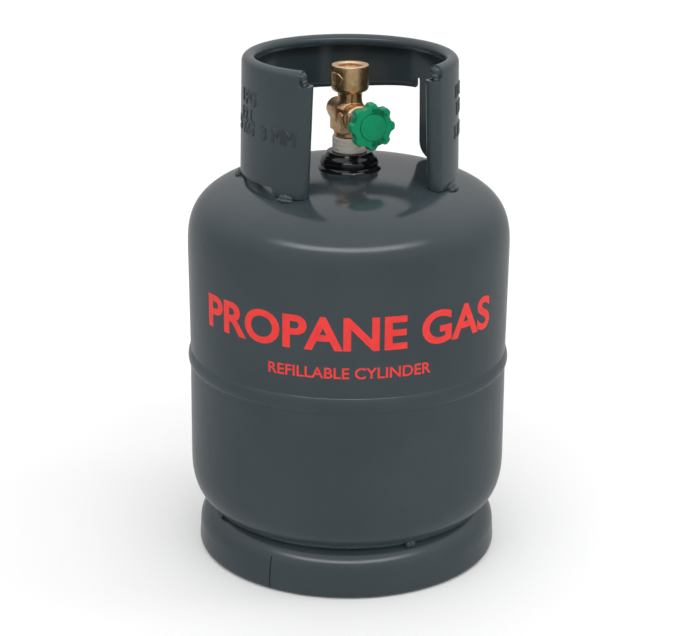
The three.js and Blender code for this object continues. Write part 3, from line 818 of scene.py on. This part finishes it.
def collar_blank():
    """Half of the flat blank as (length from the opening's middle, height), one face."""
    end = COLLAR_RADIUS * OPENING - EDGE_CURL_RADIUS * EDGE_CURL_END
    middle = COLLAR_RADIUS * math.pi
    top = CURL_START_Z + CURL_RADIUS * CURL_END
    notch = COLLAR_RADIUS * OPENING + 1.5
    upright_top = CURL_START_Z - 5.5
    window, lip = COLLAR_RADIUS * WINDOW, COLLAR_RADIUS * LIP
    lip_edge = LIP_START_Z - LIP_RADIUS * LIP_END
    arch = [COLLAR_RADIUS * angle for angle in ARCH]
    corners = [
        (end, COLLAR_FOOT_Z, 2), (arch[0], COLLAR_FOOT_Z, 1.5), (arch[1], ARCH_Z, 2),
        (arch[2], ARCH_Z, 2), (arch[3], COLLAR_FOOT_Z, 1.5), (window, COLLAR_FOOT_Z, 13),
        (window, WINDOW_TOP, 1.5), (lip, WINDOW_TOP, 1.5), (lip, lip_edge, 1.0),
        (middle, lip_edge, 0), (middle, top, 0), (notch, top, 2),
        (notch, upright_top + 1, 1.2), (notch - 1.5, upright_top, 1.0), (end, upright_top, 2),
    ]
    bm = bmesh.new()
    verts = [bm.verts.new((x, z, 0)) for x, z, _ in corners]
    bm.faces.new(verts)
    for vert, (_, _, fillet) in zip(verts, corners):
        if fillet:
            bmesh.ops.bevel(bm, geom=[vert], offset=fillet, offset_type="OFFSET", segments=6,
                            profile=0.5, affect="VERTICES", material=-1, clamp_overlap=True)
    return bm


def cut_grid(bm, axis, start, end, step):
    """Planes across the flat blank, so that it can bend."""
    normal = Vector((1, 0, 0)) if axis == 0 else Vector((0, 1, 0))
    count = max(1, round((end - start) / step))
    for k in range(count + 1):
        place = start + (end - start) * k / count
        bmesh.ops.bisect_plane(bm, geom=everything(bm), dist=1e-4,
                               plane_co=normal * place, plane_no=normal)
    return bm


def gridded_blank():
    bm = collar_blank()
    ring_start = COLLAR_RADIUS * OPENING
    cut_grid(bm, 0, ring_start - EDGE_CURL_RADIUS * EDGE_CURL_END, ring_start, 1.2)
    cut_grid(bm, 0, ring_start + 2.5, COLLAR_RADIUS * math.pi - 2.5, 2.8)
    cut_grid(bm, 1, LIP_START_Z - LIP_RADIUS * LIP_END, LIP_START_Z, 0.8)
    cut_grid(bm, 1, CURL_START_Z, CURL_START_Z + CURL_RADIUS * CURL_END, 1.1)
    cut_grid(bm, 1, 305, 350, 6.5)
    cut_grid(bm, 1, 360.5, 381, 5)
    return bm


blank = gridded_blank()
print("collar blank:", len(blank.faces), "cells")


# %% Bend the collar
def share_between(value, start, end):
    """0 at start, 1 at end, smooth between."""
    share = min(1.0, max(0.0, (value - start) / (end - start)))
    return share * share * (3 - 2 * share)


def bend_point(length, height):
    """Where a point of the flat outer skin goes once the collar is formed."""
    ring_start = COLLAR_RADIUS * OPENING
    climb = (height - COLLAR_FOOT_Z) / (COLLAR_TOP - COLLAR_FOOT_Z)
    lean = LEAN * min(1.0, max(0.0, climb)) * (1 - share_between(length / COLLAR_RADIUS,
                                                                 OPENING, ARCH[0]))
    angle = length / COLLAR_RADIUS - lean
    reach, raised = 0.0, 0.0
    if angle > (WINDOW + LIP) / 2:
        raised = LIP_RISE * share_between(angle, math.radians(170), LIP)
        raised *= share_between(height, WINDOW_TOP, LIP_START_Z)
    if height > CURL_START_Z:
        turn = (height - CURL_START_Z) / CURL_RADIUS
        reach = CURL_RADIUS * (math.cos(turn) - 1)
        height = CURL_START_Z + CURL_RADIUS * math.sin(turn)
    elif height < LIP_START_Z and angle > (WINDOW + LIP) / 2:
        turn = (LIP_START_Z - height) / LIP_RADIUS
        reach = LIP_RADIUS * (math.cos(turn) - 1)
        height = LIP_START_Z - LIP_RADIUS * math.sin(turn)
    if length < ring_start:
        turn = (ring_start - length) / EDGE_CURL_RADIUS
        hub = COLLAR_RADIUS - EDGE_CURL_RADIUS
        start = OPENING - lean
        x = hub * math.sin(start) + EDGE_CURL_RADIUS * math.sin(start - turn)
        y = -hub * math.cos(start) - EDGE_CURL_RADIUS * math.cos(start - turn)
    else:
        x = (COLLAR_RADIUS + reach) * math.sin(angle)
        y = -(COLLAR_RADIUS + reach) * math.cos(angle)
    flare = COLLAR_BASE_RADIUS / COLLAR_RADIUS - 1
    growth = 1 + flare * (COLLAR_TOP - height) / (COLLAR_TOP - COLLAR_FOOT_Z)
    bent = Vector((x * growth, y * growth, height + raised))
    bent.z = max(bent.z, dome_z(math.hypot(bent.x, bent.y)) + 0.4)
    return bent


def collar():
    bm = blank
    for vert in bm.verts:
        vert.co = bend_point(vert.co.x, vert.co.y)
    bmesh.ops.mirror(bm, geom=everything(bm), axis="X", merge_dist=0.01)
    bmesh.ops.recalc_face_normals(bm, faces=bm.faces)
    outward = sum(f.normal.dot(Vector((f.calc_center_median().x, f.calc_center_median().y, 0)))
                  * f.calc_area() for f in bm.faces)
    if outward < 0:
        bmesh.ops.reverse_faces(bm, faces=bm.faces)
    return bm


guard = piece("guard_collar", collar(), SLATE, nodes=["collar"], degrees=35)
thickness = guard.modifiers.new("sheet", "SOLIDIFY")
thickness.thickness = SHEET * MM
thickness.offset = -1.0
thickness.use_even_offset = True
edges = guard.modifiers.new("eased_edges", "BEVEL")
edges.width = 0.5 * MM
edges.segments = 2
edges.limit_method = "ANGLE"
edges.angle_limit = math.radians(50)

# %% [markdown]
# ### Closed corners of the collar
# The top curl and the upright curls meet at the two front corners. The ends of the top curl are
# hammered shut there and sealed with a few drops of weld, so no sharp hollow edge is left.

# %% Corner drops
def corner_drops(side, seed):
    places = []
    for degrees, inset, height, size in ((41.2, 5.2, 385.0, 3.9), (40.0, 5.0, 381.4, 2.9),
                                         (39.4, 4.0, 379.2, 2.2)):
        outward = round_axis(side * math.radians(degrees))
        centre = outward * (COLLAR_RADIUS - inset) + Vector((0, 0, height))
        places.append((centre, Vector((size, size * 0.8, size)), outward))
    return drops(places, seed, roughness=0.1)


piece("left_corner", corner_drops(-1, 21.0), SLATE)
piece("right_corner", corner_drops(1, 27.0), SLATE)

# %% [markdown]
# ## Valve
# The valve is a brass forging: an upright stem, a square block for the wrench, a barrel along
# the spindle, and a neck with a parting rib. Forged corners are all round, so the plain shapes
# are fused on a fine voxel grid and smoothed, and then the machined bores are cut into them.

# %% Valve forging
def solid_cylinder(radius, start, end, steps=64):
    return turned([(0, start), (radius, start), (radius, end), (0, end)], steps)


def box_between(low, high):
    bm = bmesh.new()
    bmesh.ops.create_cube(bm, size=1)
    low, high = Vector(low), Vector(high)
    bmesh.ops.scale(bm, vec=high - low, verts=bm.verts)
    bmesh.ops.translate(bm, vec=(low + high) / 2, verts=bm.verts)
    return bm


def turned_by(bm, angle):
    bmesh.ops.rotate(bm, cent=(0, 0, 0), matrix=Matrix.Rotation(angle, 3, "Z"), verts=bm.verts)
    return bm


def finished(bm, add_modifiers):
    """The bmesh after modifiers: add_modifiers gets the temporary object."""
    mesh = baked("blank", bm)
    thing = linked("blank", mesh)
    add_modifiers(thing)
    bpy.context.view_layer.update()
    result = bpy.data.meshes.new_from_object(
        thing.evaluated_get(bpy.context.evaluated_depsgraph_get()))
    made = bmesh.new()
    made.from_mesh(result)
    bpy.data.objects.remove(thing)
    bpy.data.meshes.remove(mesh)
    bpy.data.meshes.remove(result)
    return made


def fused(bm, voxel, rounds):
    def add_modifiers(thing):
        grid = thing.modifiers.new("fuse", "REMESH")
        grid.mode, grid.voxel_size = "VOXEL", voxel
        ease = thing.modifiers.new("ease", "SMOOTH")
        ease.iterations, ease.factor = rounds, 0.5
    return finished(bm, add_modifiers)


def bored(bm, tool):
    """The bmesh with a closed tool shape cut out of it."""
    cutter = linked("tool", baked("tool", tool))

    def add_modifiers(thing):
        cut = thing.modifiers.new("bore", "BOOLEAN")
        cut.operation, cut.solver, cut.object = "DIFFERENCE", "MANIFOLD", cutter
    made, mesh = finished(bm, add_modifiers), cutter.data
    bpy.data.objects.remove(cutter)
    bpy.data.meshes.remove(mesh)
    return made


def over_spindle(bm, along):
    """Shifts an upright shape to a distance along the spindle from the valve's centre line."""
    shift = SPINDLE_FRAME.to_3x3() @ Vector((0, 0, along))
    bmesh.ops.translate(bm, vec=shift, verts=bm.verts)
    return bm


def forging():
    """The fused outside, then the bores: outlet, two ducts, plug chamber, seat duct, relief."""
    upright = turned([
        (0, 296), (9.9, 296), (10.9, 298), (10.9, 328), (11.9, 328.2), (11.9, 331.3),
        (10.6, 332.5), (10.6, 337), (11.8, 338.5), (12.4, 341), (12.4, 346.5), (11.6, 349.5),
        (10.0, 351.6), (9.3, 353.5), (9.0, 356), (9.1, 360), (10.2, 361.4), (12.2, 362.2),
        (12.2, 366), (0, 366),
    ], 96)
    wrench_block = turned_by(box_between((-11.6, -11.6, 331.6), (11.6, 11.6, 346.4)),
                             SPINDLE_TURN)
    rib = turned_by(box_between((-1.9, -10.1, 346), (1.9, 10.1, 363)), SPINDLE_TURN)
    barrel = along_spindle(turned([
        (0, -26.3), (6.9, -26.3), (8.4, -25.6), (9.15, -23.8), (9.15, -14), (9.5, -11),
        (10.2, -9), (10.2, 17.6), (9.4, 19), (0, 19),
    ], 96))
    shape = fused(merged(upright, wrench_block, rib, barrel), voxel=0.42, rounds=4)
    tools = [
        solid_cylinder(9.3, 366.2, 385),
        over_spindle(solid_cylinder(3, SPINDLE_Z, 367), 3),
        over_spindle(solid_cylinder(3, 295, SPINDLE_Z), -5),
        along_spindle(solid_cylinder(6.5, -1, 20)),
        along_spindle(solid_cylinder(2.75, -15, 0)),
        along_spindle(solid_cylinder(5.8, -27, -14)),
    ]
    for tool in tools:
        shape = bored(shape, tool)
    return shape


piece("valve_forging", forging(), FORGED_BRASS, nodes=["valve_body"], degrees=40)

# %% [markdown]
# ### Outlet
# The top of the valve is a wide socket that takes the regulator. Its rim and its threaded bore
# are cut after forging, so they are bright. On one side the die left a raised, empty frame.

# %% Outlet socket
SOCKET_RADIUS = span("valve_body")[1].x
SOCKET_TOP = span("valve_body")[1].z


def outlet():
    low, high, radius, bore = 361.6, SOCKET_TOP, SOCKET_RADIUS, 9.3
    threads = []
    for k in range(7):
        start = 379.4 - 1.9 * k
        threads += [(bore, start), (bore + 0.75, start - 0.75), (bore + 0.75, start - 0.95),
                    (bore, start - 1.7)]
    outline = [
        (9.6, low), (11.6, low + 0.1), (13.1, low + 0.9), (radius, low + 2.4),
        *straight((radius, low + 2.6), (radius, high - 0.7), 4),
        *arc((radius - 0.7, high - 0.7), 0.7, 0, 90, 4),
        (bore + 1.1, high), (bore, high - 1.1), *threads, (bore, 366.3), (9.4, 366.2),
    ]
    return turned(outline, 128)


socket = piece("outlet_socket", outlet(), FORGED_BRASS, nodes=["valve_body"],
               degrees=28)
socket.data.materials.append(MACHINED_BRASS)
BORE_REACH, SEAT_Z, RIM_Z = 10.6, 366.25, SOCKET_TOP - 0.25
for face in socket.data.polygons:
    middle = face.center / MM
    in_bore = math.hypot(middle.x, middle.y) < BORE_REACH and middle.z > SEAT_Z
    face.material_index = 1 if in_bore or middle.z > RIM_Z else 0


# %% Frame on the outlet
def wrapped(bm, radius_at, angle, height):
    """Carries a flat mesh (x along, y up, z outwards) round the Z axis at a given angle."""
    for vert in bm.verts:
        x, y, out = vert.co
        radius = radius_at(height + y)
        turn = angle + x / radius
        vert.co = round_axis(turn, radius + out, height + y)
    return bm


def raised(bm, base, depth):
    """Gives a flat mesh thickness: its back at base, its face at base + depth."""
    bmesh.ops.translate(bm, vec=(0, 0, base), verts=bm.verts)
    front = bmesh.ops.extrude_face_region(bm, geom=bm.faces[:])
    moved = [item for item in front["geom"] if isinstance(item, bmesh.types.BMVert)]
    bmesh.ops.translate(bm, vec=(0, 0, depth), verts=moved)
    bmesh.ops.recalc_face_normals(bm, faces=bm.faces)
    return bm


def die_frame():
    bm = bmesh.new()
    corners = [(-5.6, -5.0), (3.2, -5.0), (5.8, 1.6), (2.4, 4.4), (-5.6, 5.0)]
    face = bm.faces.new([bm.verts.new((x, y, 0)) for x, y in corners])
    inner = bmesh.ops.inset_region(bm, faces=[face], thickness=1.1, use_boundary=True)
    bmesh.ops.delete(bm, geom=[face], context="FACES_ONLY")
    bmesh.ops.subdivide_edges(bm, edges=bm.edges, cuts=6, use_grid_fill=True)
    print("die frame:", len(inner["faces"]), "sides")
    return bm


frame_mark = raised(die_frame(), base=-0.4, depth=0.95)
frame_mark = wrapped(frame_mark, lambda z: SOCKET_RADIUS, math.radians(-62), 371.6)
piece("die_frame", frame_mark, FORGED_BRASS, degrees=30)

# %% [markdown]
# ### Thread tape
# White sealing tape is wound round the tapered thread before the valve is screwed in. It bunches
# into a few soft ridges that climb as a spiral, and its edges fray.

# %% Thread tape
def tape():
    low, high = span("thread_tape")
    inner, outer = 11.2, high.x
    rows = 40
    outline = [(inner, low.z), (inner + 0.3, low.z), (12.1, 315.6)]
    outline += [(outer, 316.4 + (high.z - 316.8) * k / rows) for k in range(rows + 1)]
    outline.append((inner, high.z - 0.2))
    bm = turned(outline, 160)
    for vert in bm.verts:
        radius = math.hypot(vert.co.x, vert.co.y)
        if radius < outer - 0.01:
            continue
        angle = math.atan2(vert.co.x, -vert.co.y)
        turn = 2 * math.pi * (vert.co.z - 316) / 3.1 + angle
        ridge = 0.07 * (1 - math.cos(turn)) + 0.3 * (0.5 + 0.5 * noise.noise(vert.co * 0.5))
        crease = 0.12 * (0.5 + 0.5 * noise.noise(Vector((angle * 7, 0, vert.co.z * 2.2))))
        frayed = 0.5 * max(0.0, noise.noise(Vector((angle * 5, 3, 0))))
        if vert.co.z > high.z - 0.8:
            vert.co.z -= frayed
        vert.co.xy *= (outer - ridge - crease) / radius
    return bm


piece("wound_tape", tape(), TAPE, nodes=["thread_tape"], degrees=50)

# %% [markdown]
# ### Bonnet
# The bonnet closes the valve round the spindle. It is cut from hexagon bar: the turned profile
# leaves curved corners where the lathe's chamfer meets the flats.

# %% Bonnet
def hexed(bm, flats, start, end):
    """Presses a turned shape's wide part onto six flats."""
    for vert in bm.verts:
        radius = math.hypot(vert.co.x, vert.co.y)
        if radius > flats / 2 and start <= vert.co.z <= end:
            angle = math.atan2(vert.co.y, vert.co.x) % (math.pi / 3) - math.pi / 6
            limit = flats / 2 / math.cos(angle)
            if radius > limit:
                vert.co.xy *= limit / radius
    return bm


def bonnet():
    bore, nose = 3.9, 6.8
    outline = [
        (bore, 18.6), (6.2, 18.6), (6.2, 20.6), (8.8, 20.6), (9.3, 20.75), (10.35, 21.35),
        *straight((10.35, 21.6), (10.35, 26.4), 4), (10.35, 26.5), (9.3, 27.15), (8.8, 27.3),
        (nose + 0.3, 27.35), (nose, 27.6), (nose, 30.2), (6.4, 30.8), (6.0, 31.0), (bore, 31.0),
    ]
    return along_spindle(hexed(turned(outline, 144), flats=18.0, start=20.0, end=27.4))


piece("bonnet_nut", bonnet(), CROSS_BRASS, nodes=["bonnet"], degrees=25)

# %% [markdown]
# ## Handwheel
# The handwheel is one plastic moulding with eight knobs round its rim and a hollow back. It is
# spun as a plain wheel first; then each rim vertex is drawn inwards by a smooth wave with flat
# crests, which leaves knobs with steep sides. Small raised words show which way the valve turns.

# %% Handwheel
LOBES = 8
VALLEY_RADIUS = 14.9
WHEEL_FRONT = 46.0


def knob_share(angle):
    """1 on a knob's crest, 0 in the valley between two knobs."""
    steepness = 1.9
    wave = math.tanh(steepness * math.cos(LOBES * angle)) / math.tanh(steepness)
    return 0.5 + 0.5 * wave


def handwheel():
    back, front, radius = 37.5, WHEEL_FRONT, 17.5
    outline = [
        (4.6, 33.5), (6.1, 33.5), (6.5, 33.9), (6.5, 38.2), (7.0, 41.0), (8.5, 41.2),
        (13.0, 41.2), (13.4, 40.8), (13.6, back + 0.5), (13.9, back), (15.3, back),
        (radius - 0.8, back), (radius - 0.25, back + 0.3), (radius, back + 1.0),
        (radius, 40.0), (radius, 42.5), (radius, front - 1.5), (radius - 0.2, front - 0.8),
        (radius - 0.7, front - 0.25), (radius - 1.4, front), (15.4, front), (14.0, front),
        (12.6, front), (10.5, front), (10.2, front - 0.15), (10.2, front - 0.8),
        (4.6, front - 0.8), (4.6, 43.4),
    ]
    wheel = turned(outline, 384)
    for vert in wheel.verts:
        reach = math.hypot(vert.co.x, vert.co.y)
        share = share_between(reach, 13.7, radius)
        angle = math.atan2(vert.co.x, vert.co.y)
        vert.co.xy *= 1 - share * (1 - knob_share(angle)) * (1 - VALLEY_RADIUS / radius)
    return along_spindle(wheel)


piece("handwheel", handwheel(), GREEN, body="handwheel_and_spindle",
      nodes=["handwheel"], degrees=38)
cap = turned(rounded([(0, 45.5), (9.9, 45.5, 0.2), (9.9, 46.5, 0.35), (0, 46.5)]), 128)
piece("wheel_cap", along_spindle(cap), GREEN, body="handwheel_and_spindle",
      nodes=["handwheel_cap"], degrees=38)


# %% Words on the wheel
def ends(bm):
    """Lowest and highest x."""
    places = [vert.co.x for vert in bm.verts]
    return min(places), max(places)


def lettering(text, height, bold=0.0, width=None, ridge=0.0):
    """Flat letters in millimetres, centred on x, standing on y = 0; a ridge makes them solid."""
    curve = bpy.data.curves.new("letters", "FONT")
    curve.body, curve.align_x, curve.size = text, "CENTER", height / 0.7
    curve.offset, curve.resolution_u = bold, 5
    curve.bevel_depth, curve.bevel_resolution = ridge, 2
    thing = bpy.data.objects.new("letters", curve)
    mesh = bpy.data.meshes.new_from_object(thing)
    bm = bmesh.new()
    bm.from_mesh(mesh)
    bpy.data.objects.remove(thing)
    bpy.data.curves.remove(curve)
    bpy.data.meshes.remove(mesh)
    bmesh.ops.remove_doubles(bm, verts=bm.verts, dist=1e-4)
    if width:
        low, high = ends(bm)
        bmesh.ops.translate(bm, vec=(-(low + high) / 2, 0, 0), verts=bm.verts)
        bmesh.ops.scale(bm, vec=(width / (high - low), 1, 1), verts=bm.verts)
    return bm


def sliced(bm, step):
    """Upright cuts through flat letters, so that they can bend round the vessel."""
    low, high = ends(bm)
    for k in range(1, int((high - low) / step)):
        bmesh.ops.bisect_plane(bm, geom=everything(bm), dist=1e-5,
                               plane_co=(low + k * step, 0, 0), plane_no=(1, 0, 0))
    return bm


def wheel_word(text, outwards):
    """A word on a ring of the wheel's face; outwards tells whether its feet point inwards."""
    middle, height, side = 12.4, 3.1, 1 if outwards else -1
    bm = raised(sliced(lettering(text, height, bold=0.12), 0.8), base=-0.3, depth=1.2)
    for vert in bm.verts:
        x, y, out = vert.co
        reach = middle + (y - height / 2) * side
        turn = x / middle + math.radians(22)
        vert.co = Vector((reach * math.sin(turn), side * reach * math.cos(turn),
                          WHEEL_FRONT + out))
    return along_spindle(bm)


for word, outwards in (("OPEN", True), ("SHUT", False)):
    piece(f"word_{word.lower()}", wheel_word(word, outwards), GREEN_WORDS,
          body="handwheel_and_spindle", degrees=30)

# %% [markdown]
# ## Printed words and stamped marks
# The vessel carries two screen-printed words in red and a smaller line centred below them. Ink
# has almost no thickness, so the letters are a thin skin a few hundredths of a millimetre proud
# of the paint. The collar carries marks pressed from inside the sheet, which stand out as
# rounded ridges.

# %% Printing and stamping
def shell_radius(z):
    if z > TOP_TANGENT:
        return BODY_RADIUS
    return MOUTH_RADIUS + (BODY_RADIUS - MOUTH_RADIUS) * (z - MOUTH_Z) / (TOP_TANGENT - MOUTH_Z)


def collar_radius(z):
    share = (COLLAR_TOP - z) / (COLLAR_TOP - COLLAR_FOOT_Z)
    return COLLAR_RADIUS + (COLLAR_BASE_RADIUS - COLLAR_RADIUS) * share


def printed(text, height, width, degrees, z, **style):
    bm = sliced(lettering(text, height, width=width, **style), 2.2)
    bm = raised(bm, base=-0.08, depth=0.12)
    return wrapped(bm, shell_radius, math.radians(degrees), z)


def stamped(rows):
    """Rows are (text, capital height, degrees, z)."""
    parts = []
    for text, height, degrees, z in rows:
        bm = sliced(lettering(text, height, bold=-0.1, ridge=0.75), 2.0)
        bmesh.ops.recalc_face_normals(bm, faces=bm.faces)
        parts.append(wrapped(bm, collar_radius, math.radians(degrees), z))
    return merged(*parts)


piece("printed_word", printed("PROPANE GAS", 24, 246, -13.8, 200.5, bold=0.9), RED_INK)
piece("printed_line", printed("REFILLABLE CYLINDER", 8.2, 122, -13.8, 178.6, bold=0.16),
      RED_INK)
# the stamps' darker enamel is painted shade
piece("left_stamps", stamped([("LPG", 10, -80, 358.5), ("12 L", 10, -82, 345),
                              ("5 KG  3 MM", 10.5, -69, 336.5)]), STAMP_SHADE_ENAMEL)
piece("right_stamps", stamped([("LPG", 9, 66, 362), ("12 L", 9, 67, 349),
                               ("5 KG", 9, 66, 332)]), STAMP_SHADE_ENAMEL)

# %% [markdown]
# ## Small parts
# The rest of the valve keeps its exact CAD shape: the spindle with its rings, the plug and its
# pad, the washers, the screw, and the relief valve. Each part gets its own finish.

# %% Finishes for the small parts
SMALL_PARTS = {
    CROSS_BRASS: ["spindle", "valve_plug", "relief_cap", "relief_poppet"],
    RUBBER: ["spindle_o_ring_1", "spindle_o_ring_2", "relief_seal"],
    NYLON: ["seat_pad", "bonnet_gasket", "thrust_washer"],
    STEEL: ["handwheel_screw"],
}
for finish, names in SMALL_PARTS.items():
    for name in names:
        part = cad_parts[name]
        part.data.materials.clear()
        part.data.materials.append(finish)
print(sum(len(names) for names in SMALL_PARTS.values()), "small parts finished")

# %% [markdown]
# ### Relief spring
# The spring stays put at the relief valve's cap and shortens when the poppet lifts. A merged copy
# of the CAD spring stands in for it.


def relief_coil():
    """A merged copy of the CAD spring in millimetres."""
    bm = bmesh.new()
    bm.from_mesh(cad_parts["relief_spring"].data)
    bmesh.ops.scale(bm, vec=(1 / MM, 1 / MM, 1 / MM), verts=bm.verts)
    bmesh.ops.remove_doubles(bm, verts=bm.verts, dist=1e-3)
    bmesh.ops.recalc_face_normals(bm, faces=bm.faces)
    return bm


coil = piece("relief_coil", relief_coil(), STEEL, nodes=["relief_spring"])
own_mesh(coil)
